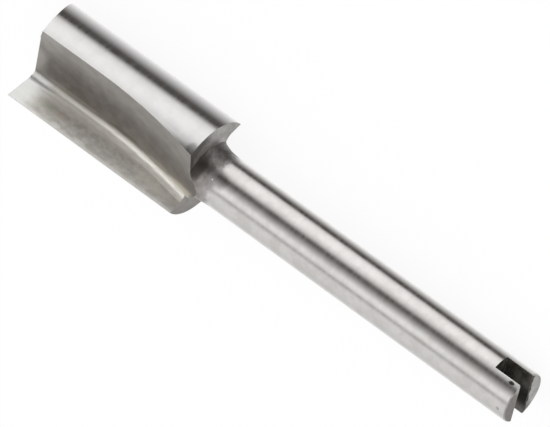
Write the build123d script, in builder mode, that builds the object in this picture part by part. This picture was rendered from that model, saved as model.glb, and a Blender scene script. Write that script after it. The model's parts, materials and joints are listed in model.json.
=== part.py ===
from build123d import *
from math import acos, atan, cos, degrees, radians, sin, sqrt, tan
import os

# Straight router bit, ground from one round bar of high-speed steel. Two straight flutes
# leave two wings on the cutting head, and a thin shank with a slotted end goes in the collet.
# The bit lies on a flat surface as it comes to rest: one flute faces down, the head stands on
# its two rear corners, and the rim of the shank's end touches too. +X runs from the cutting
# end towards the shank, +Z is up, and the origin is the bottom centre of the box around it.
# Sizes are in millimetres and angles in degrees.

# The round blank
cutting_diameter = 6.35
head_length = 12.7
shank_diameter = 3.175
overall_length = 35.7
neck_height = 0.32
neck_length = 1.3
end_chamfer = 0.06

# The flutes, ground by the flat side and the rim of a wheel that stops short of the shank
hook_angle = 23.0
gullet_offset = 0.90
wall_lean = 7.0
gullet_fillet = 0.55
flute_straight = 5.3
wheel_radius = 36.0

# The cutting end and the shoulders behind the wings
end_dish = 6.0
end_clearance = 15.0
gash_depth = 0.4
gash_length = 4.8
gash_tilt = 7.7
gash_flare = 45.0
shoulder_step = 0.35

# The slot across the end of the shank
slot_width = 1.08
slot_depth = 1.8
slot_turn = 48.0
slot_offset = 0.11

# How far a cut runs past the metal that it removes
overrun = 1.0

cutting_radius = cutting_diameter / 2
shank_radius = shank_diameter / 2
wing_turns = (0, 180)
across_web = -hook_angle - wall_lean

# Where a flute opens at the back of the head: from its cutting edge round to the heel of the
# other wing. The wall has bent outwards by the sag of the wheel's rim there.
rake_depth = cutting_radius * sin(radians(hook_angle))
rear_sag = wheel_radius - sqrt(wheel_radius**2 - (head_length - flute_straight) ** 2)
wall_distance = (gullet_offset + rear_sag) * cos(radians(wall_lean)) - rake_depth * sin(
    radians(wall_lean)
)
rear_opening = hook_angle + wall_lean + degrees(acos(wall_distance / cutting_radius))
wing_middle = (180 - rear_opening) / 2

# The resting position: the floor touches the chord across the lower flute and the shank's rim
chord_distance = cutting_radius * cos(radians(rear_opening / 2))
rest_tilt = atan((chord_distance - shank_radius) / (overall_length - end_chamfer - head_length))
along = Vector(cos(rest_tilt), 0, -sin(rest_tilt))
upward = Vector(sin(rest_tilt), 0, cos(rest_tilt))
sideways = Vector(0, 1, 0)
box_centre = (
    overall_length * cos(rest_tilt)
    + (shank_radius - end_chamfer - chord_distance) * sin(rest_tilt)
) / 2
tip_height = head_length * sin(rest_tilt) + chord_distance * cos(rest_tilt)
tip = Vector(-box_centre, 0, tip_height)


def radial(angle):
    """Direction out from the axis, where 0 is the first cutting edge as the bit lies."""
    turned = radians(angle - wing_middle)
    return sideways * cos(turned) + upward * sin(turned)


def section(station, turn):
    """Plane across the bit at a distance from the cutting end, its x towards the angle turn."""
    return Plane(origin=tip + along * station, x_dir=radial(turn), z_dir=along)


def rake_plane(turn):
    """Plane of a wing's rake face: x towards its cutting edge, y along the bit."""
    outward = radial(turn - hook_angle)
    into_flute = radial(turn - hook_angle - 90)
    return Plane(origin=tip - into_flute * rake_depth, x_dir=outward, z_dir=into_flute)


def end_face(turn):
    """Plane of a wing's end face, which falls back to the centre and to the heel."""
    outward = radial(turn - hook_angle)
    into_flute = radial(turn - hook_angle - 90)
    corner = tip + radial(turn) * cutting_radius
    fall = outward * tan(radians(end_dish)) + into_flute * tan(radians(end_clearance))
    return Plane(origin=corner, z_dir=along + fall)


def gash_floor(turn):
    """Plane of the gash behind a wing: x square to the web's walls, deeper towards the heel."""
    across = radial(turn + across_web)
    to_heel = radial(turn + across_web + 90)
    floor = along - to_heel * tan(radians(gash_tilt))
    return Plane(origin=tip + along * gash_depth, x_dir=across, z_dir=floor)


# The turned blank: the head, its flat shoulder, a hollow neck, the shank and its small chamfer
axis_plane = Plane(origin=tip, x_dir=along, z_dir=-sideways)
with BuildPart() as blank:
    with BuildSketch(axis_plane):
        with BuildLine():
            Polyline(
                (0, 0),
                (0, cutting_radius),
                (head_length, cutting_radius),
                (head_length, shank_radius + neck_height),
            )
            neck = EllipticalCenterArc(
                (head_length + neck_length, shank_radius + neck_height),
                neck_length,
                neck_height,
                start_angle=180,
                arc_size=90,
            )
            Polyline(
                neck @ 1,
                (overall_length - end_chamfer, shank_radius),
                (overall_length, shank_radius - end_chamfer),
                (overall_length, 0),
                (0, 0),
            )
        make_face()
    revolve(axis=Axis(tip, along))

# One flute for each wing: the wheel's side makes the flat rake face, and its rim the wall,
# which runs straight and then sweeps out along the wheel's curve
reach = cutting_radius + overrun
sweep_angle = degrees(acos((wheel_radius - reach + gullet_offset) / wheel_radius))
flutes = []
for turn in wing_turns:
    with BuildPart() as flute:
        with BuildSketch(rake_plane(turn)):
            with BuildLine():
                Line((gullet_offset, -overrun), (gullet_offset, flute_straight))
                rim = CenterArc(
                    (gullet_offset + wheel_radius, flute_straight), wheel_radius, 180, -sweep_angle
                )
                Polyline(rim @ 1, (reach, -overrun), (gullet_offset, -overrun))
            make_face()
        extrude(amount=reach + rake_depth, taper=-wall_lean)
        rake = flute.faces().sort_by(Axis(rake_plane(turn).origin, rake_plane(turn).z_dir))[0]
        gullet = rake.edges().sort_by(Axis(tip, rake_plane(turn).x_dir))[:2]
        fillet(gullet, gullet_fillet)
    flutes.append(flute.part)

# One end face for each wing: the metal in front of it is cut away, on the wing's own side of
# the line that crosses the web square to its walls
web_reach = gullet_offset + gullet_fillet
end_depth = cutting_diameter * (tan(radians(end_dish)) + tan(radians(end_clearance)))
end_cuts = []
for turn in wing_turns:
    with BuildPart() as end_cut:
        with BuildSketch(section(-overrun, turn + across_web)):
            with Locations((-web_reach, 0)):
                Rectangle(web_reach + reach, reach, align=(Align.MIN, Align.MIN))
        extrude(amount=overrun + end_depth)
        split(bisect_by=end_face(turn), keep=Keep.BOTTOM)
    end_cuts.append(end_cut.part)

with BuildPart() as router_bit:
    add(blank.part)
    add(flutes, mode=Mode.SUBTRACT)
    add(end_cuts, mode=Mode.SUBTRACT)

    # A flared gash behind each wing sinks the web between its middle and the flute's wall
    for turn in wing_turns:
        with BuildSketch(gash_floor(turn)):
            Rectangle(gullet_offset, gash_length, align=(Align.MAX, Align.CENTER))
        extrude(amount=-(gash_depth + overrun), taper=-gash_flare, mode=Mode.SUBTRACT)

    # The second wing's shoulder is ground a little further forward than the first one's
    with BuildSketch(section(head_length - shoulder_step, wing_turns[1] + wing_middle - 90)):
        Rectangle(2 * reach, reach, align=(Align.CENTER, Align.MIN))
        Circle(shank_radius + neck_height, mode=Mode.SUBTRACT)
    extrude(amount=shoulder_step + overrun, mode=Mode.SUBTRACT)

    # The slot goes right across the shank's end
    with BuildSketch(section(overall_length - slot_depth, slot_turn)):
        with Locations((0, slot_offset)):
            Rectangle(shank_diameter + overrun, slot_width)
    extrude(amount=slot_depth + overrun, mode=Mode.SUBTRACT)

router_bit.part.label = "router_bit"

os.makedirs("parts", exist_ok=True)
export_step(router_bit.part, "parts/router_bit.step")

# Where the collet grips: the middle of the shank's round wall, from the neck to the chamfer
plain_start = head_length + neck_length
plain_end = overall_length - end_chamfer
grip = tip + along * ((plain_start + plain_end) / 2)
print("rest tilt", round(degrees(rest_tilt), 3), "degrees")
print("grip centre", [round(value, 4) for value in grip], "length", round(plain_end - plain_start, 3))
print("axis", [round(value, 6) for value in along])
print("centre of mass", [round(value, 3) for value in router_bit.part.center(CenterOf.MASS)])
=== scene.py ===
# %% [markdown]
# A straight router bit is one small bar of high-speed steel, ground all over. The solid comes
# ready made at its real size, so the work here is the camera, the light that the steel
# mirrors, and above all the finish that each grinding step leaves.

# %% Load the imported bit
import json
import math

import bpy
from mathutils import Matrix, Vector

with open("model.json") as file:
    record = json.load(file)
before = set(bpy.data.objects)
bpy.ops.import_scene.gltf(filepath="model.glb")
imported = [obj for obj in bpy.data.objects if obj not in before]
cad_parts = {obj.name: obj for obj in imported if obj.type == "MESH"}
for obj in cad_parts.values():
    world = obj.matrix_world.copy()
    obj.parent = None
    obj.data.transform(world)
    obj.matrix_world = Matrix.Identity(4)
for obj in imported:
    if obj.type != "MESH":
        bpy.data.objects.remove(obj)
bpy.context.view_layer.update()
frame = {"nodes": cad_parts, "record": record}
bit = frame["nodes"]["router_bit"]
print("router bit:", len(bit.data.polygons), "faces")

# %% [markdown]
# A toolmaker measures a bit along and around its own axis, not along the bench it lies on.
# The collet mount gives the axis and the vertex furthest forward gives the tip. Angles are
# counted from the cutting corner that touches the floor, towards the side that faces us.

# %% The bit's own axis, tip and first cutting edge
MM = 0.001
TIP_SLACK = 0.01 * MM

grip = frame["record"]["mounts"][0]
along = Vector(grip["axis"]).normalized()
grip_centre = Vector(grip["pos_m"])
stations = [(vertex.co - grip_centre).dot(along) for vertex in bit.data.vertices]
tip = grip_centre + along * min(stations)
bit_length = (max(stations) - min(stations)) / MM
front = [vertex.co for vertex in bit.data.vertices if (vertex.co - tip).dot(along) < TIP_SLACK]
edge_out = (max(front, key=lambda place: place.y) - tip).normalized()
facing = along.cross(edge_out)
shank_radius = grip["dims"]["r_mm"]
cutting_radius = max((place - tip).dot(edge_out) for place in front) / MM
print("length", round(bit_length, 2), "mm, head radius", round(cutting_radius, 3), "mm")

# %% [markdown]
# The camera stands a third of a metre away with a long lens, nearly square to the bit and a
# little on the side of the shank's end. It is rolled, so that the bit slants down across the
# picture. It could be placed by eye, but two angles, the place of the tip in the picture and
# the scale there say all of it, and each of them can be corrected on its own.

# %% Camera at the photograph's viewing angle
PICTURE = (550, 427)
TIP_PIXEL = (40.55, 49.34)
PIXELS_PER_MM = 17.626
CAMERA_DISTANCE = 333.67 * MM
LEAN_TO_CAMERA = math.radians(22.15)
SLOPE_IN_PICTURE = math.radians(35.868)
SENSOR_WIDTH = 36.0
CLIP_START = 10 * MM

to_camera = along * math.sin(LEAN_TO_CAMERA) + facing * math.cos(LEAN_TO_CAMERA)
seen_axis = along * math.cos(LEAN_TO_CAMERA) - facing * math.sin(LEAN_TO_CAMERA)
right = seen_axis * math.cos(SLOPE_IN_PICTURE) + edge_out * math.sin(SLOPE_IN_PICTURE)
up = edge_out * math.cos(SLOPE_IN_PICTURE) - seen_axis * math.sin(SLOPE_IN_PICTURE)
pixel = MM / PIXELS_PER_MM
rightwards = PICTURE[0] / 2 - TIP_PIXEL[0]
downwards = PICTURE[1] / 2 - TIP_PIXEL[1]
aim = tip + (right * rightwards - up * downwards) * pixel
camera_axes = Matrix((right, up, to_camera)).transposed().to_4x4()

camera = bpy.data.objects.new("camera", bpy.data.cameras.new("camera"))
bpy.context.scene.collection.objects.link(camera)
camera.matrix_world = Matrix.Translation(aim + to_camera * CAMERA_DISTANCE) @ camera_axes
camera.data.sensor_width = SENSOR_WIDTH
camera.data.lens = CAMERA_DISTANCE / pixel / PICTURE[0] * SENSOR_WIDTH
camera.data.clip_start = CLIP_START
bpy.context.scene.camera = camera
print("camera lens", round(camera.data.lens), "mm")

# %% [markdown]
# Nodes can be wired by hand in the editor, but a script has to say every link. This small
# helper adds a node, sets it and links its inputs in one line, which keeps each material
# below short enough to read as a recipe. Colours are written as three numbers. A mask is
# given by two ends: where it is 0 and where it is 1.

# %% A helper that wires nodes
NOISE_ROUGHNESS = 0.58
MIDDLE = 0.5


class Tree:
    """Adds nodes to a node tree, links their inputs and gives back their sockets."""

    def __init__(self, tree):
        tree.nodes.clear()
        self.tree = tree

    def add(self, kind, inputs=(), **settings):
        """A node with its settings and its inputs, each a value or another node's socket."""
        node = self.tree.nodes.new(kind)
        for name, value in settings.items():
            setattr(node, name, value)
        for name, value in dict(inputs).items():
            socket = node.inputs[name]
            if isinstance(value, bpy.types.NodeSocket):
                self.tree.links.new(value, socket)
            else:
                socket.default_value = (*value, 1) if socket.type == "RGBA" else value
        return node

    def math(self, operation, *values):
        """The result of a Math node."""
        return self.add("ShaderNodeMath", enumerate(values), operation=operation).outputs[0]

    def vector(self, operation, *values):
        """The vector that a Vector Math node gives."""
        return self.add("ShaderNodeVectorMath", enumerate(values), operation=operation).outputs[0]

    def dot(self, one, other):
        """How far one vector reaches along another."""
        node = self.add("ShaderNodeVectorMath", enumerate((one, other)), operation="DOT_PRODUCT")
        return node.outputs["Value"]

    def step(self, value, low, high):
        """A mask that eases from 0 at low to 1 at high."""
        inputs = {"Value": value, "From Min": low, "From Max": high}
        node = self.add("ShaderNodeMapRange", inputs, interpolation_type="SMOOTHSTEP")
        return node.outputs["Result"]

    def noise(self, place, scale, detail):
        """Noise of about 0 to 1, with this many bumps for each unit of the place."""
        inputs = {"Vector": place, "Scale": scale, "Detail": detail, "Roughness": NOISE_ROUGHNESS}
        return self.add("ShaderNodeTexNoise", inputs).outputs[0]

    def waver(self, value, place, amount, scale, detail):
        """The value with noise added, which takes it up and down by half the amount."""
        noise = self.math("SUBTRACT", self.noise(place, scale, detail), MIDDLE)
        return self.math("MULTIPLY_ADD", noise, amount, value)

    def group(self, node_tree, inputs=()):
        """The outputs of a node group placed here with these inputs."""
        return self.add("ShaderNodeGroup", inputs, node_tree=node_tree).outputs

    def blend(self, mask, one, other):
        """One colour where the mask is 0, the other where it is 1."""
        node = self.add("ShaderNodeMix", {"Factor": mask, "A": one, "B": other}, data_type="RGBA")
        return node.outputs["Result"]


print("wiring helper ready, noise roughness", NOISE_ROUGHNESS)

# %% [markdown]
# Ground steel has almost no colour of its own: what we read as silver is the room in it. The
# bit lies between long cards and lights that run beside it, so every round face shows them as
# straight bands. Real planes could stand round it, but a ramp in the world does the same and
# throws no shadow. Each band is set by its angle about the bit's axis: 0 is over the side that
# faces us, and minus 90 is out past the first cutting edge. The dark cards are a warm black.

# %% Cards and lights by their angle about the bit
CARDS = (
    ("white table behind", -180, 1.10),
    ("its near edge", -148, 0.98),
    ("shade before the black card", -128, 0.63),
    ("black card", -106, 0.11),
    ("black card's far edge", -91, 0.06),
    ("strip light", -78, 0.97),
    ("strip light's middle", -62, 1.15),
    ("strip light's far side", -44, 1.14),
    ("its fading rim", -29, 0.86),
    ("dark camera side", -12, 0.08),
    ("dark camera side's end", -2, 0.13),
    ("grey between", 14, 0.50),
    ("white card", 31, 1.00),
    ("white card's far edge", 45, 0.98),
    ("seam of the table", 57, 0.44),
    ("table", 70, 0.84),
    ("middle of the table", 100, 0.81),
    ("table's far side", 130, 0.72),
    ("white table again", 180, 1.06),
)
BRIGHTEST = 1.5
DARKEST_GREY = 0.2
WHITE = (1, 1, 1)
WARM_BLACK = (1.06, 0.99, 0.93)
HALF_TURN = 180.0
FULL_TURN = 360.0

world = bpy.data.worlds.new("studio")
bpy.context.scene.world = world
world.use_nodes = True
sky = Tree(world.node_tree)
direction = sky.add("ShaderNodeTexCoord").outputs["Generated"]
sideways = sky.dot(direction, tuple(-edge_out))
angle = sky.math("ARCTAN2", sideways, sky.dot(direction, tuple(facing)))
turn_share = sky.math("DIVIDE", sky.math("ADD", angle, math.pi), 2 * math.pi)
ramp_node = sky.add("ShaderNodeValToRGB", {"Fac": turn_share})
ramp = ramp_node.color_ramp
for _ in CARDS[2:]:
    ramp.elements.new(MIDDLE)
for element, (_, degrees, level) in zip(ramp.elements, CARDS):
    tint = WARM_BLACK if level < DARKEST_GREY else WHITE
    element.position = (degrees + HALF_TURN) / FULL_TURN
    element.color = [level / BRIGHTEST * part for part in tint] + [1]
print("cards and lights round the bit:", len(CARDS))

# %% [markdown]
# What lies behind the shank's end is dimmer, and only the ends and shoulders mirror it. Only
# mirrored rays see the cards at all. Everything else is lit by plain white, at a level where
# a colour renders as it is written.

# %% The world: cards for mirrored rays, plain white for the rest
DIM_SHARE = 0.62
BEHIND_END = (0.0, 0.3)

behind_end = sky.step(sky.dot(direction, tuple(along)), *BEHIND_END)
dimmed = sky.math("MULTIPLY_ADD", behind_end, (DIM_SHARE - 1) * BRIGHTEST, BRIGHTEST)
cards = sky.add("ShaderNodeBackground", {"Color": ramp_node.outputs["Color"], "Strength": dimmed})
plain = sky.add("ShaderNodeBackground", {"Color": WHITE, "Strength": 1.0})
mirrored = sky.add("ShaderNodeLightPath").outputs["Is Glossy Ray"]
both = sky.add("ShaderNodeMixShader", {0: mirrored, 1: plain.outputs[0], 2: cards.outputs[0]})
sky.add("ShaderNodeOutputWorld", {"Surface": both.outputs[0]})
print("light behind the shank's end:", DIM_SHARE, "of the rest")

# %% [markdown]
# The bit lies on a white sheet. A sheet that is only lit never reaches the pure white of the
# picture, so most of what the camera sees of it glows at strength 1, and the rest is lit
# paper that keeps the bit's soft shadow. The steel mirrors the cards instead of the sheet.

# %% White sheet under the bit
SHEET_SIZE = 4.0
SHEET_GLOW = 0.9

bpy.ops.mesh.primitive_plane_add(size=SHEET_SIZE)
sheet = bpy.context.object
sheet.name = "white_sheet"
sheet.visible_glossy = False
paper = bpy.data.materials.new("white_paper")
paper.use_nodes = True
surface = Tree(paper.node_tree)
lit = surface.add("ShaderNodeBsdfDiffuse", {"Color": WHITE})
glow = surface.add("ShaderNodeEmission", {"Color": WHITE, "Strength": 1.0})
seen_directly = surface.add("ShaderNodeLightPath").outputs["Is Camera Ray"]
share = surface.math("MULTIPLY", seen_directly, SHEET_GLOW)
mixed = surface.add("ShaderNodeMixShader", {0: share, 1: lit.outputs[0], 2: glow.outputs[0]})
surface.add("ShaderNodeOutputMaterial", {"Surface": mixed.outputs[0]})
sheet.data.materials.append(paper)
bpy.context.scene.view_settings.view_transform = "Standard"
print("sheet", SHEET_SIZE, "m wide")

# %% [markdown]
# Every finish needs to know where it is on the bit. An unwrapped mesh could say it, but this
# solid has no such map, and it doesn't need one: a node group works the place out from the
# object's coordinates, in millimetres. It gives the station along the bit, the side out
# towards the first cutting edge, the radius, and the turn that the surface looks to. The
# wings are alike, so that turn is folded to half a turn.


# %% Group: place on the bit
def new_group(name, inputs, outputs):
    """An empty node group with named sockets, its wiring helper and its input sockets."""
    group = bpy.data.node_groups.new(name, "ShaderNodeTree")
    for socket, (kind, value) in inputs.items():
        made = group.interface.new_socket(name=socket, in_out="INPUT", socket_type=kind)
        if value is not None:
            made.default_value = (*value, 1) if kind == COLOUR else value
    for socket, kind in outputs.items():
        group.interface.new_socket(name=socket, in_out="OUTPUT", socket_type=kind)
    wiring = Tree(group)
    return group, wiring, wiring.add("NodeGroupInput").outputs


FLOAT, VECTOR, COLOUR = "NodeSocketFloat", "NodeSocketVector", "NodeSocketColor"
MM_PER_METRE = 1000.0

place_group, wiring, _ = new_group(
    "Place on the bit",
    {},
    {"Place": VECTOR, "Station": FLOAT, "Side": FLOAT, "Radius": FLOAT, "Turn": FLOAT},
)
coordinates = wiring.add("ShaderNodeTexCoord").outputs
from_tip = wiring.vector("SUBTRACT", coordinates["Object"], tuple(tip))
reach = [wiring.dot(from_tip, tuple(axis * MM_PER_METRE)) for axis in (along, edge_out, facing)]
place = wiring.add("ShaderNodeCombineXYZ", enumerate(reach)).outputs[0]
squares = [wiring.math("MULTIPLY", value, value) for value in reach[1:]]
radius = wiring.math("SQRT", wiring.math("ADD", *squares))
looks = [wiring.dot(coordinates["Normal"], tuple(axis)) for axis in (facing, edge_out)]
half_turns = wiring.math("DIVIDE", wiring.math("ARCTAN2", *looks), math.pi)
turn = wiring.math("MULTIPLY", wiring.math("FLOORED_MODULO", half_turns, 1.0), HALF_TURN)
found = {"Place": place, "Station": reach[0], "Side": reach[1], "Radius": radius, "Turn": turn}
wiring.add("NodeGroupOutput", found)
print("group:", place_group.name)

# %% [markdown]
# A wheel leaves fine parallel lines: round the bit where it was ground between centres, and
# along it in the flutes. Anisotropy would stretch the shine but show no single line, so both
# are one noise, squeezed across the lines and drawn out along them. A second, slower noise
# lets the lines come and go, as they do when the wheel is dressed.

# %% Group: grind lines
EVEN, UNEVEN = 0.5, 1.0
SLOW_SHARE = 0.13
LINE_HEIGHTS = (-0.18, 0.18)

grind_group, wiring, given = new_group(
    "Grind lines",
    {"Place": (VECTOR, None), "Lines per mm": (VECTOR, (1, 1, 1)), "Unevenness": (FLOAT, EVEN)},
    {"Height": FLOAT, "Mask": FLOAT},
)
squeezed = wiring.vector("MULTIPLY", given["Place"], given["Lines per mm"])
depth = wiring.waver(1.0, squeezed, given["Unevenness"], SLOW_SHARE, detail=1.0)
height = wiring.waver(0.0, squeezed, depth, scale=1.0, detail=3.0)
line_mask = wiring.step(height, *LINE_HEIGHTS)
wiring.add("NodeGroupOutput", {"Height": height, "Mask": line_mask})
print("group:", grind_group.name)

# %% [markdown]
# Handling, coolant and heat leave soft patches that are a little darker and warmer than clean
# steel. They could be painted, but no two bits have the same ones, so this group blends two
# colours by a cloudy noise of a given size.

# %% Group: cloudy patches
CLOUD_RIM = (0.35, 0.65)

cloud_group, wiring, given = new_group(
    "Cloudy patches",
    {
        "Place": (VECTOR, None),
        "Patches per mm": (VECTOR, (1, 1, 1)),
        "Clean": (COLOUR, WHITE),
        "Stained": (COLOUR, (0, 0, 0)),
        "Amount": (FLOAT, 0.5),
    },
    {"Colour": COLOUR, "Mask": FLOAT},
)
stretched = wiring.vector("MULTIPLY", given["Place"], given["Patches per mm"])
cloud = wiring.step(wiring.noise(stretched, scale=1.0, detail=4.0), *CLOUD_RIM)
patches = wiring.math("MULTIPLY", cloud, given["Amount"])
tinted = wiring.blend(patches, given["Clean"], given["Stained"])
wiring.add("NodeGroupOutput", {"Colour": tinted, "Mask": patches})
print("group:", cloud_group.name)

# %% [markdown]
# Some marks belong to one place: a heat stain near the tip, a ding by the slot, and a thin
# painted highlight on the slot's lip.
# Each is a soft ellipsoid round a point of the bit, and noise frays its rim so that it
# doesn't look stamped.

# %% Group: single mark
MARK_RIM = (0.55, 1.15)
FRAY_SCALE = 1.3

mark_group, wiring, given = new_group(
    "Single mark",
    {
        "Place": (VECTOR, None),
        "Centre": (VECTOR, (0, 0, 0)),
        "Half size": (VECTOR, (1, 1, 1)),
        "Fraying": (FLOAT, 0.6),
    },
    {"Mask": FLOAT},
)
offset = wiring.vector("SUBTRACT", given["Place"], given["Centre"])
scaled = wiring.vector("DIVIDE", offset, given["Half size"])
distance = wiring.math("SQRT", wiring.dot(scaled, scaled))
distance = wiring.waver(distance, scaled, given["Fraying"], FRAY_SCALE, detail=2.0)
mask = wiring.math("SUBTRACT", 1.0, wiring.step(distance, *MARK_RIM))
wiring.add("NodeGroupOutput", {"Mask": mask})
print("group:", mark_group.name)

# %% [markdown]
# No ground corner is perfectly sharp. A bevel modifier would change the solid, which is
# finished, so the Bevel node only bends the normal within a hair of every corner. Corners
# then catch the light as a thin line, and how far the normal bends tells where they are.

# %% Group: broken corners
CORNER_BEND = (0.02, 0.15)

corner_group, wiring, given = new_group(
    "Broken corners", {"Width": (FLOAT, 0.03 * MM)}, {"Normal": VECTOR, "Mask": FLOAT}
)
rounded = wiring.add("ShaderNodeBevel", {"Radius": given["Width"]}, samples=4).outputs[0]
square = wiring.add("ShaderNodeNewGeometry").outputs["Normal"]
bent = wiring.math("SUBTRACT", 1.0, wiring.dot(rounded, square))
corner_mask = wiring.step(bent, *CORNER_BEND)
wiring.add("NodeGroupOutput", {"Normal": rounded, "Mask": corner_mask})
print("group:", corner_group.name)

# %% [markdown]
# All the finishes begin and end alike. They begin with the place on the bit and the lines of
# the wheel, and end as bare metal: the lines make it rougher and bend its normal a little, and
# worn corners are lighter. What comes in between is the colour: what each step of the grinding
# and years in a drawer have left, and in some places painted light and shade, as a clean and a
# stained tone in cloudy patches and single marks laid over them. That is told in a cell for each.

# %% The start and the end of every finish
LINE_DEPTH = 0.01 * MM
WORN_CORNER = (0.92, 0.90, 0.87)


def new_finish(name, lines_per_mm, unevenness):
    """A new material, its wiring helper, and its place and line groups' outputs."""
    material = bpy.data.materials.new(name)
    material.use_nodes = True
    nodes = Tree(material.node_tree)
    at = nodes.group(place_group)
    inputs = {"Place": at["Place"], "Lines per mm": lines_per_mm, "Unevenness": unevenness}
    return material, nodes, at, nodes.group(grind_group, inputs)


def cloudy(nodes, at, tones, per_mm, amount):
    """A clean tone with soft patches of a stained one, so many of them to a millimetre."""
    clean, stained = tones
    size = {"Place": at["Place"], "Patches per mm": per_mm, "Amount": amount}
    return nodes.group(cloud_group, size | {"Clean": clean, "Stained": stained})["Colour"]


def marked(nodes, at, colour, marks):
    """The colour with marks laid over it, each a centre, a half size, a tone and an amount."""
    for centre, half_size, tone, amount in marks.values():
        inputs = {"Place": at["Place"], "Centre": centre, "Half size": half_size}
        mask = nodes.math("MULTIPLY", nodes.group(mark_group, inputs)["Mask"], amount)
        colour = nodes.blend(mask, colour, tone)
    return colour


def bare_metal(nodes, lines, colour, smooth, in_lines, bump, corner_width, corner_wear):
    """Metal of a smooth roughness, and more in the lines, with corners that are worn light."""
    corners = nodes.group(corner_group, {"Width": corner_width * MM})
    worn = nodes.math("MULTIPLY", corners["Mask"], corner_wear)
    relief = {"Height": lines["Height"], "Strength": bump, "Distance": LINE_DEPTH}
    bumped = nodes.add("ShaderNodeBump", relief | {"Normal": corners["Normal"]})
    steel = nodes.add(
        "ShaderNodeBsdfPrincipled",
        {
            "Base Color": nodes.blend(worn, colour, WORN_CORNER),
            "Metallic": 1.0,
            "Roughness": nodes.math("MULTIPLY_ADD", lines["Mask"], in_lines, smooth),
            "Normal": bumped.outputs[0],
        },
    )
    nodes.add("ShaderNodeOutputMaterial", {"Surface": steel.outputs[0]})


print("line depth", LINE_DEPTH / MM, "mm")

# %% [markdown]
# Lands and shank were ground between centres on a fine wheel, so they are the brightest faces,
# with lines that run round the bit. The flank towards the first cutting edge, where the black
# card shows as a dark band, is painted darker on the head as painted shade, and lighter on the
# shank as painted light.

# %% Finish: round lands and shank
HEAD_LENGTH = 12.7
AROUND = (9.0, 0.25, 0.25)
ROUND_PATCHES = (1.3, 1.1, 1.1)
ROUND_STAINS = 0.7
LAND_TONES = ((0.73, 0.717, 0.708), (0.68, 0.667, 0.655))
SHANK_TONES = ((0.75, 0.73, 0.715), (0.65, 0.627, 0.61))
LAND_FLANK_PAINTED_SHADE = (0.65, 0.64, 0.635)
SHANK_FLANK_PAINTED_LIGHT = (0.83, 0.81, 0.79)
BEHIND_HEAD = (HEAD_LENGTH, HEAD_LENGTH + 0.1)
ON_FLANK = (0.72, 0.8)

round_steel, nodes, at, lines = new_finish("round_ground_steel", AROUND, EVEN)
behind_head = nodes.step(at["Station"], *BEHIND_HEAD)
on_flank = nodes.step(nodes.math("DIVIDE", at["Side"], at["Radius"]), *ON_FLANK)
colour = nodes.blend(
    behind_head,
    cloudy(nodes, at, LAND_TONES, ROUND_PATCHES, ROUND_STAINS),
    cloudy(nodes, at, SHANK_TONES, ROUND_PATCHES, ROUND_STAINS),
)
# painted shade on the head's flank and painted light on the shank's flank, in the black card's
# band
colour = nodes.blend(on_flank, colour, nodes.blend(behind_head, LAND_FLANK_PAINTED_SHADE, SHANK_FLANK_PAINTED_LIGHT))
print("lands and shank:", AROUND[0], "lines to a millimetre")

# %% [markdown]
# The hollow neck is where that wheel stopped. It is dull and mottled, paler on the side away
# from the first cutting edge, and it fades into the shank without a clear border. Right
# behind the head it is an even grey, and a black wedge of painted shade fills the corner we see.

# %% Finish: hollow neck
NECK_RADIUS = 2.3
NECK_PATCHES = (2.4, 2.4, 2.4)
NECK_STAINS = 0.8
DULL_NECK = ((0.25, 0.237, 0.228), (0.13, 0.12, 0.115))
PALE_NECK = ((0.46, 0.43, 0.42), (0.33, 0.305, 0.295))
CORNER_GREY = (0.30, 0.28, 0.27)
# painted shade: a black wedge in the corner of the neck, on the side we see
NECK_PAINTED_SHADE = {"black wedge": ((12.88, -0.1, 1.8), (0.5, 1.05, 0.7), (0.08, 0.07, 0.064), 0.88)}
PALE_SIDE = (0.0, -0.8)
IN_CORNER = (HEAD_LENGTH + 0.45, HEAD_LENGTH + 0.05)
BEFORE_SHANK = (HEAD_LENGTH + 1.7, HEAD_LENGTH + 0.9)
INSIDE_NECK = (NECK_RADIUS, NECK_RADIUS - 0.05)

neck = nodes.blend(
    nodes.step(at["Side"], *PALE_SIDE),
    cloudy(nodes, at, DULL_NECK, NECK_PATCHES, NECK_STAINS),
    cloudy(nodes, at, PALE_NECK, NECK_PATCHES, NECK_STAINS),
)
ragged_station = nodes.waver(at["Station"], at["Place"], amount=1.2, scale=1.6, detail=3.0)
neck = nodes.blend(nodes.step(ragged_station, *IN_CORNER), neck, CORNER_GREY)
# lays the black wedge of painted shade over the neck
neck = marked(nodes, at, neck, NECK_PAINTED_SHADE)
inside = nodes.step(at["Radius"], *INSIDE_NECK)
in_neck = nodes.math("MULTIPLY", inside, nodes.step(ragged_station, *BEFORE_SHANK))
colour = nodes.blend(in_neck, colour, neck)
print("neck fades out", round(BEFORE_SHANK[0] - HEAD_LENGTH, 2), "mm behind the head")

# %% [markdown]
# Use has left its marks on these round faces. The land is rubbed bright towards its heel and
# dull at the very end of it. The shank has a dull patch with a nick just behind the neck, and
# the slot's cutter left a chip at its rim, beside a thin painted highlight along its lip. The
# neck is rougher than the rest, and its corners aren't worn.

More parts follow.
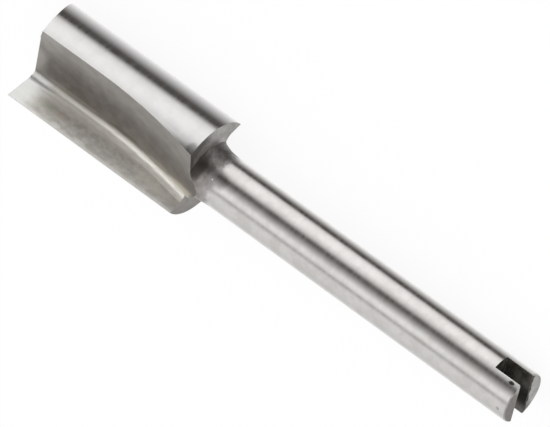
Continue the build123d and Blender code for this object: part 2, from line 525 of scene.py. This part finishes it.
# %% Finish: marks on the round faces
ROUND_MARKS = {
    "bright heel": ((10.2, 0.3, 3.15), (3.2, 0.5, 0.5), (0.92, 0.905, 0.89), 0.85),
    "dull heel end": ((12.5, 0.45, 3.14), (0.4, 0.4, 0.3), (0.30, 0.285, 0.275), 0.6),
    "dull patch": ((14.2, -0.05, 1.58), (0.75, 0.6, 0.4), (0.38, 0.362, 0.352), 0.85),
    "stain in it": ((14.0, 0.25, 1.58), (0.35, 0.3, 0.3), (0.27, 0.255, 0.245), 0.4),
    "nick in it": ((13.93, -0.26, 1.57), (0.06, 0.06, 0.3), (0.95, 0.93, 0.9), 0.8),
    # painted highlight: a thin bright line along the slot's lip
    "painted lip highlight of the slot": ((34.85, 0.51, 1.5), (1.0, 0.07, 0.2), (0.98, 0.96, 0.93), 0.9),
    "chip of the slot": ((35.21, 0.31, 1.56), (0.22, 0.12, 0.3), (0.06, 0.055, 0.05), 1.0),
    "grey spot": ((35.20, -1.25, 0.98), (0.13, 0.12, 0.18), (0.42, 0.41, 0.40), 0.8),
}
ROUND_SMOOTH = 0.13
SHANK_ROUGHER = 0.03
NECK_ROUGHER = 0.25
ROUND_WEAR = 0.3

colour = marked(nodes, at, colour, ROUND_MARKS)
smooth = nodes.math("MULTIPLY_ADD", behind_head, SHANK_ROUGHER, ROUND_SMOOTH)
smooth = nodes.math("MULTIPLY_ADD", in_neck, NECK_ROUGHER, smooth)
wear = nodes.math("MULTIPLY_ADD", in_neck, -ROUND_WEAR, ROUND_WEAR)
bare_metal(
    nodes, lines, colour, smooth, in_lines=0.08, bump=0.1, corner_width=0.02, corner_wear=wear
)
print("finish:", round_steel.name, "with", len(ROUND_MARKS), "marks")

# %% [markdown]
# The flutes were ground by a coarser wheel that ran lengthwise. Its flat side made the rake
# face and its rim the wall, and between them its worn corner left a hollow that shines as
# one long line. All three are one material: the way the surface looks blends one into the
# next, so the borders stay as soft as the wheel left them. The rake face comes first. It is
# streaked lengthwise, worn light along the cutting edge and flecked with light spots at the
# rear, and the heat of the last grind has left an olive stain behind the tip.

# %% Finish: rake faces
LENGTHWISE = (1.4, 9.0, 9.0)
RAKE_STREAKS = (2.2, 2.9, 2.9)
RAKE_FLECKS = (3.0, 5.0, 5.0)
INNER_RAKE = ((0.58, 0.548, 0.50), (0.41, 0.378, 0.33))
OUTER_RAKE = ((0.56, 0.533, 0.497), (0.43, 0.405, 0.37))
LIGHT_LINE = (0.9, 0.87, 0.82)
LIGHT_FLECK = (0.82, 0.785, 0.72)
LINE_SHARE = 0.14
EDGE_SHARE = 0.5
FLECK_SHARE = 0.8
RAKE_MARKS = {
    "olive stain": ((2.15, -2.2, -0.42), (0.95, 0.5, 0.5), (0.375, 0.38, 0.305), 0.65),
    "its brown rim": ((3.4, -2.35, -0.36), (0.6, 0.27, 0.3), (0.46, 0.395, 0.345), 0.6),
    "light rear": ((10.8, -2.2, -0.4), (2.0, 0.7, 0.6), (0.74, 0.70, 0.61), 0.6),
}
EDGE_MARKS = {
    "rubbed edge": ((3.5, -2.96, -0.09), (0.4, 0.14, 0.2), (0.85, 0.84, 0.82), 0.4),
    "rubbed edge again": ((5.3, -2.95, -0.09), (0.45, 0.14, 0.2), (0.85, 0.84, 0.82), 0.4),
}
OUTER_HALF = (2.0, 2.6)
WORN_EDGE = (2.9, 3.15)
BESIDE_HOLLOW = (2.65, 2.1)
FLECKED_REAR = (6.0, 10.5)

flute_steel, nodes, at, lines = new_finish("flute_ground_steel", LENGTHWISE, UNEVEN)
rake = nodes.blend(
    nodes.step(at["Radius"], *OUTER_HALF),
    cloudy(nodes, at, INNER_RAKE, RAKE_STREAKS, amount=1.0),
    cloudy(nodes, at, OUTER_RAKE, RAKE_STREAKS, amount=1.0),
)
light_lines = nodes.math("MULTIPLY", lines["Mask"], LINE_SHARE)
rake = nodes.blend(light_lines, rake, LIGHT_LINE)
rake = marked(nodes, at, rake, RAKE_MARKS)
edge_wear = nodes.math("MULTIPLY", nodes.step(at["Radius"], *WORN_EDGE), EDGE_SHARE)
rake = nodes.blend(edge_wear, rake, WORN_CORNER)
rake = marked(nodes, at, rake, EDGE_MARKS)
fleck_inputs = {"Place": at["Place"], "Patches per mm": RAKE_FLECKS, "Amount": FLECK_SHARE}
flecks = nodes.group(cloud_group, fleck_inputs)["Mask"]
beside_hollow = nodes.step(at["Radius"], *BESIDE_HOLLOW)
at_rear = nodes.math("MULTIPLY", beside_hollow, nodes.step(at["Station"], *FLECKED_REAR))
rake = nodes.blend(nodes.math("MULTIPLY", flecks, at_rear), rake, LIGHT_FLECK)
print("rake faces:", LENGTHWISE[1], "lines to a millimetre")

# %% [markdown]
# The hollow is the lightest part of a flute: its near-white colour is a painted highlight on
# top of the real shine of its curve, whiter still further back. It is painted less bright where
# it turns up into the wall, grey lines run along it, and near the tip a dark thread. The last
# grind of the end polished the tip, which keeps its hollow smooth, and the tip's colour is
# painted lighter as a highlight, up to a wavy border.

# %% Finish: hollow between rake face and wall
HOOK_ANGLE = 23.0
RAKE_TURN = 90 - HOOK_ANGLE
# painted highlight: the near-white tones of the hollow
HOLLOW_HIGHLIGHT = (0.93, 0.895, 0.83)
HOLLOW_REAR_HIGHLIGHT = (1.0, 0.97, 0.90)
HOLLOW_UP = (0.60, 0.575, 0.53)
GREY_LINE = (0.62, 0.59, 0.54)
GREY_SHARE = 0.3
TIP_POLISH_AND_HIGHLIGHT = (0.77, 0.77, 0.75)
HOLLOW_MARKS = {"dark thread": ((1.3, -1.40, -0.65), (1.3, 0.04, 0.1), (0.33, 0.32, 0.28), 0.8)}
FURTHER_BACK = (3.5, 9.0)
TURNING_UP = (RAKE_TURN + 12, RAKE_TURN + 34)
HOLLOW_RADII = (2.3, 1.83)
OUT_OF_RAKE = (RAKE_TURN, RAKE_TURN + 12)
POLISHED_AND_HIGHLIGHTED_TIP = (2.2, 0.7)

further_back = nodes.step(at["Station"], *FURTHER_BACK)
hollow = nodes.blend(nodes.step(at["Turn"], *TURNING_UP), HOLLOW_HIGHLIGHT, HOLLOW_UP)
hollow = nodes.blend(further_back, hollow, HOLLOW_REAR_HIGHLIGHT)
hollow = marked(nodes, at, hollow, HOLLOW_MARKS)
hollow = nodes.blend(nodes.math("MULTIPLY", lines["Mask"], GREY_SHARE), hollow, GREY_LINE)
by_hollow = nodes.step(at["Radius"], *HOLLOW_RADII)
rake = nodes.blend(by_hollow, rake, hollow)
colour = nodes.blend(nodes.step(at["Turn"], *OUT_OF_RAKE), rake, hollow)
wavy_station = nodes.waver(at["Station"], at["Place"], amount=1.6, scale=0.9, detail=2.0)
# painted highlight on the tip, over its real polish
colour = nodes.blend(nodes.step(wavy_station, *POLISHED_AND_HIGHLIGHTED_TIP), colour, TIP_POLISH_AND_HIGHLIGHT)
print("hollow begins where the surface looks to", RAKE_TURN, "degrees")

# %% [markdown]
# The wall is the darkest part, with cloudy patches. Its tone is painted shade deep in the flute
# and painted light where it opens, lighter at the tip and bright at its rear end. Along its foot,
# by the hollow, the painted shade is grey near the tip, dark in the middle and lighter behind.

# %% Finish: flute walls
WALL_LEAN = 7.0
WALL_TURN = 180 - HOOK_ANGLE - WALL_LEAN
WALL_MOTTLE = (1.3, 1.5, 1.5)
WALL_MOTTLE_AMOUNT = 0.9
SHADED_DEEP_WALL = ((0.262, 0.239, 0.221), (0.206, 0.183, 0.169))
LIT_OPEN_WALL = ((0.425, 0.405, 0.38), (0.365, 0.34, 0.317))
REAR_PAINTED_LIGHT = 0.45
WALL_LINE_SHARE = 0.4
# painted light at the open tip and at the rear end of the wall
WALL_PAINTED_LIGHT = {
    "painted light at the tip": ((0.4, 0.2, 0.4), (1.1, 1.5, 1.5), (0.46, 0.44, 0.41), 0.7),
    "painted light at the rear end": ((12.8, -1.83, -0.24), (3.4, 0.5, 0.6), (0.80, 0.77, 0.70), 0.85),
}
# painted shade along the wall's foot, in the crease by the hollow
FOOT_PAINTED_SHADE = {
    "grey foot": ((3.2, -1.06, -0.35), (2.7, 0.22, 0.25), (0.40, 0.38, 0.35), 0.7),
    "painted dark shade at the foot": ((7.2, -1.05, -0.24), (1.5, 0.17, 0.2), (0.19, 0.175, 0.16), 0.7),
    "lighter foot": ((9.9, -1.35, -0.23), (1.3, 0.2, 0.25), (0.50, 0.475, 0.43), 0.7),
}
WALL_RADII = (1.0, 3.05)
ON_WALL = (RAKE_TURN + 51, WALL_TURN - 3)

# painted shade deep in the flute and painted light where the wall opens and further back
painted_light_share = nodes.step(at["Radius"], *WALL_RADII)
wall = nodes.blend(
    nodes.math("MULTIPLY_ADD", further_back, REAR_PAINTED_LIGHT, painted_light_share),
    cloudy(nodes, at, SHADED_DEEP_WALL, WALL_MOTTLE, WALL_MOTTLE_AMOUNT),
    cloudy(nodes, at, LIT_OPEN_WALL, WALL_MOTTLE, WALL_MOTTLE_AMOUNT),
)
wall = nodes.blend(nodes.math("MULTIPLY", light_lines, WALL_LINE_SHARE), wall, LIGHT_LINE)
wall = marked(nodes, at, wall, WALL_PAINTED_LIGHT)
colour = nodes.blend(nodes.step(at["Turn"], *ON_WALL), colour, wall)
colour = marked(nodes, at, colour, FOOT_PAINTED_SHADE)
print("wall begins where the surface looks to", ON_WALL[0], "degrees")

# %% [markdown]
# The wheel's worn corner tore the steel a little, so the hollow's shine is broad and soft.
# Its floor is made rougher than the faces beside it, except on the polished tip.

# %% Finish: roughness of the flutes
FLUTE_SMOOTH = 0.33
TORN_ROUGHER = 0.24
TORN_FROM_RAKE = (RAKE_TURN, RAKE_TURN + 6)
TORN_TO_WALL = (RAKE_TURN + 32, RAKE_TURN + 20)
BEHIND_POLISH = (1.4, 3.2)

past_rake = nodes.math("MAXIMUM", by_hollow, nodes.step(at["Turn"], *TORN_FROM_RAKE))
torn = nodes.math("MULTIPLY", past_rake, nodes.step(at["Turn"], *TORN_TO_WALL))
torn = nodes.math("MULTIPLY", torn, nodes.step(wavy_station, *BEHIND_POLISH))
smooth = nodes.math("MULTIPLY_ADD", torn, TORN_ROUGHER, FLUTE_SMOOTH)
bare_metal(
    nodes, lines, colour, smooth, in_lines=0.08, bump=0.12, corner_width=0.04, corner_wear=0.4
)
print("finish:", flute_steel.name)

# %% [markdown]
# Ends and shoulders were cut across the bit and never made fine, so they are a flat mid grey
# with short crossing scratches. The side that is turned away from the first cutting edge has
# kept more of its dull skin. On the other side the shoulder is painted lighter round the neck
# and darker at its rim, as painted light and shade, and the slot's cutter has burnt a ragged
# rim on the shank's end.

# %% Finish: ends and shoulders
CROSSWISE = (6.0, 6.0, 6.0)
END_PATCHES = (1.4, 1.4, 1.4)
END_STAINS = 0.9
END_TONES = ((0.60, 0.58, 0.56), (0.42, 0.405, 0.385))
DULL_SKIN = (0.272, 0.248, 0.236)
SHOULDER_SKIN = 0.55
SHANK_END_SKIN = 0.4
# painted light round the neck and painted shade at the rim of the shoulder
SHOULDER_PAINTED_LIGHT_AND_SHADE = {
    "painted light by the neck": ((12.7, 0.6, 2.0), (0.5, 1.1, 0.65), (1.0, 0.96, 0.93), 0.95),
    "painted shade at the rim": ((12.7, 0.7, 3.1), (0.5, 1.1, 0.75), (0.50, 0.48, 0.46), 0.9),
}
DULL_SIDE = (0.2, -0.2)
ON_SHANK_END = (HEAD_LENGTH + 1.0, HEAD_LENGTH + 2.0)

end_steel, nodes, at, lines = new_finish("end_steel", CROSSWISE, EVEN)
colour = cloudy(nodes, at, END_TONES, END_PATCHES, END_STAINS)
on_shank_end = nodes.step(at["Station"], *ON_SHANK_END)
skin = nodes.math("MULTIPLY_ADD", on_shank_end, SHANK_END_SKIN, SHOULDER_SKIN)
skin = nodes.math("MULTIPLY", nodes.step(at["Side"], *DULL_SIDE), skin)
colour = nodes.blend(skin, colour, DULL_SKIN)
colour = marked(nodes, at, colour, SHOULDER_PAINTED_LIGHT_AND_SHADE)
print("shoulder marks:", ", ".join(SHOULDER_PAINTED_LIGHT_AND_SHADE))

# %% Finish: burnt rim of the slot
SLOT_TURN = math.radians(48.0)
ACROSS_SLOT = (0, math.sin(SLOT_TURN), -math.cos(SLOT_TURN))
# black of the burnt rim, and of the painted shade deep in the slot
BURNT_RIM_AND_SLOT_SHADE = (0.03, 0.028, 0.024)
RIM_WIDTH = (0.64, 0.56)
BURNT_SIDE = (-0.2, 0.2)

across = nodes.dot(at["Place"], ACROSS_SLOT)
ragged_across = nodes.waver(across, at["Place"], amount=0.5, scale=3.5, detail=2.0)
rim = nodes.math("MULTIPLY", on_shank_end, nodes.step(ragged_across, *RIM_WIDTH))
rim = nodes.math("MULTIPLY", rim, nodes.step(across, *BURNT_SIDE))
colour = nodes.blend(rim, colour, BURNT_RIM_AND_SLOT_SHADE)
bare_metal(
    nodes, lines, colour, smooth=0.36, in_lines=0.1, bump=0.15, corner_width=0.03, corner_wear=0.35
)
print("finish:", end_steel.name)

# %% [markdown]
# The slot was cut last, with a thin wheel, and left as it was. Its colour is nearly black in
# the middle, as painted shade deep in the slot, a patchy grey at the mouth towards the first
# cutting edge, and a dark grey at the other.

# %% Finish: slot
SLOT_PATCHES = (2.0, 2.0, 2.0)
SLOT_TONES = ((0.34, 0.325, 0.285), (0.15, 0.145, 0.125))
FAR_MOUTH = (0.17, 0.16, 0.15)
SHADED_MIDDLE_SIDE = (0.9, 0.2)
FAR_SIDE = (-0.1, -0.6)

slot_steel, nodes, at, lines = new_finish("slot_steel", CROSSWISE, UNEVEN)
colour = cloudy(nodes, at, SLOT_TONES, SLOT_PATCHES, amount=1.0)
# painted shade: nearly black in the middle, deep in the slot
colour = nodes.blend(nodes.step(at["Side"], *SHADED_MIDDLE_SIDE), colour, BURNT_RIM_AND_SLOT_SHADE)
colour = nodes.blend(nodes.step(at["Side"], *FAR_SIDE), colour, FAR_MOUTH)
bare_metal(
    nodes, lines, colour, smooth=0.42, in_lines=0.15, bump=0.3, corner_width=0.04, corner_wear=0.08
)
print("finish:", slot_steel.name)

# %% [markdown]
# Each face of the mesh belongs to one of the four finishes. They could be picked by hand, but
# a rule also holds for a new mesh. Where a face is and which way it looks say which: round
# faces keep their radius, ends look along the bit, the slot lies deep in the end of the
# shank, and the rest belongs to the flutes.

# %% Give each face its finish
FINISHES = (round_steel, flute_steel, end_steel, slot_steel)
COLLAR_START = 12.3
SLACK = 0.05
ROUND_FACE = 0.98
ROUND_OR_CHAMFER = 0.6
END_FACE = 0.7
CHAMFER_OR_END = 0.5
FLAT_SHOULDER = 0.99
shank_start = (grip_centre - tip).dot(along) / MM - grip["dims"]["length_mm"] / 2


def finish_of(face):
    """The finish of a face of the bit."""
    from_tip = face.center - tip
    station = from_tip.dot(along) / MM
    outward = from_tip - along * (station * MM)
    radius = outward.length / MM
    endwise = face.normal.dot(along)
    roundness = face.normal.dot(outward.normalized())
    turned_face = abs(face.normal.dot(along.cross(outward.normalized()))) < 2 * SLACK
    if station > shank_start:
        if roundness > ROUND_OR_CHAMFER and radius > shank_radius - 2 * SLACK:
            return round_steel
        at_end = station > bit_length - 2 * SLACK and endwise > CHAMFER_OR_END
        return end_steel if at_end else slot_steel
    if COLLAR_START < station < HEAD_LENGTH and roundness > ROUND_FACE and radius < NECK_RADIUS:
        return end_steel
    if station > HEAD_LENGTH - SLACK and turned_face and -SLACK < endwise < FLAT_SHOULDER:
        return round_steel
    if abs(endwise) > END_FACE:
        return end_steel
    if roundness > ROUND_FACE and radius > cutting_radius - 2 * SLACK:
        return round_steel
    return flute_steel


bit.data.materials.clear()
for finish in FINISHES:
    bit.data.materials.append(finish)
counts = dict.fromkeys(FINISHES, 0)
for face in bit.data.polygons:
    finish = finish_of(face)
    face.material_index = FINISHES.index(finish)
    counts[finish] += 1
print("faces with each finish:", {finish.name: count for finish, count in counts.items()})
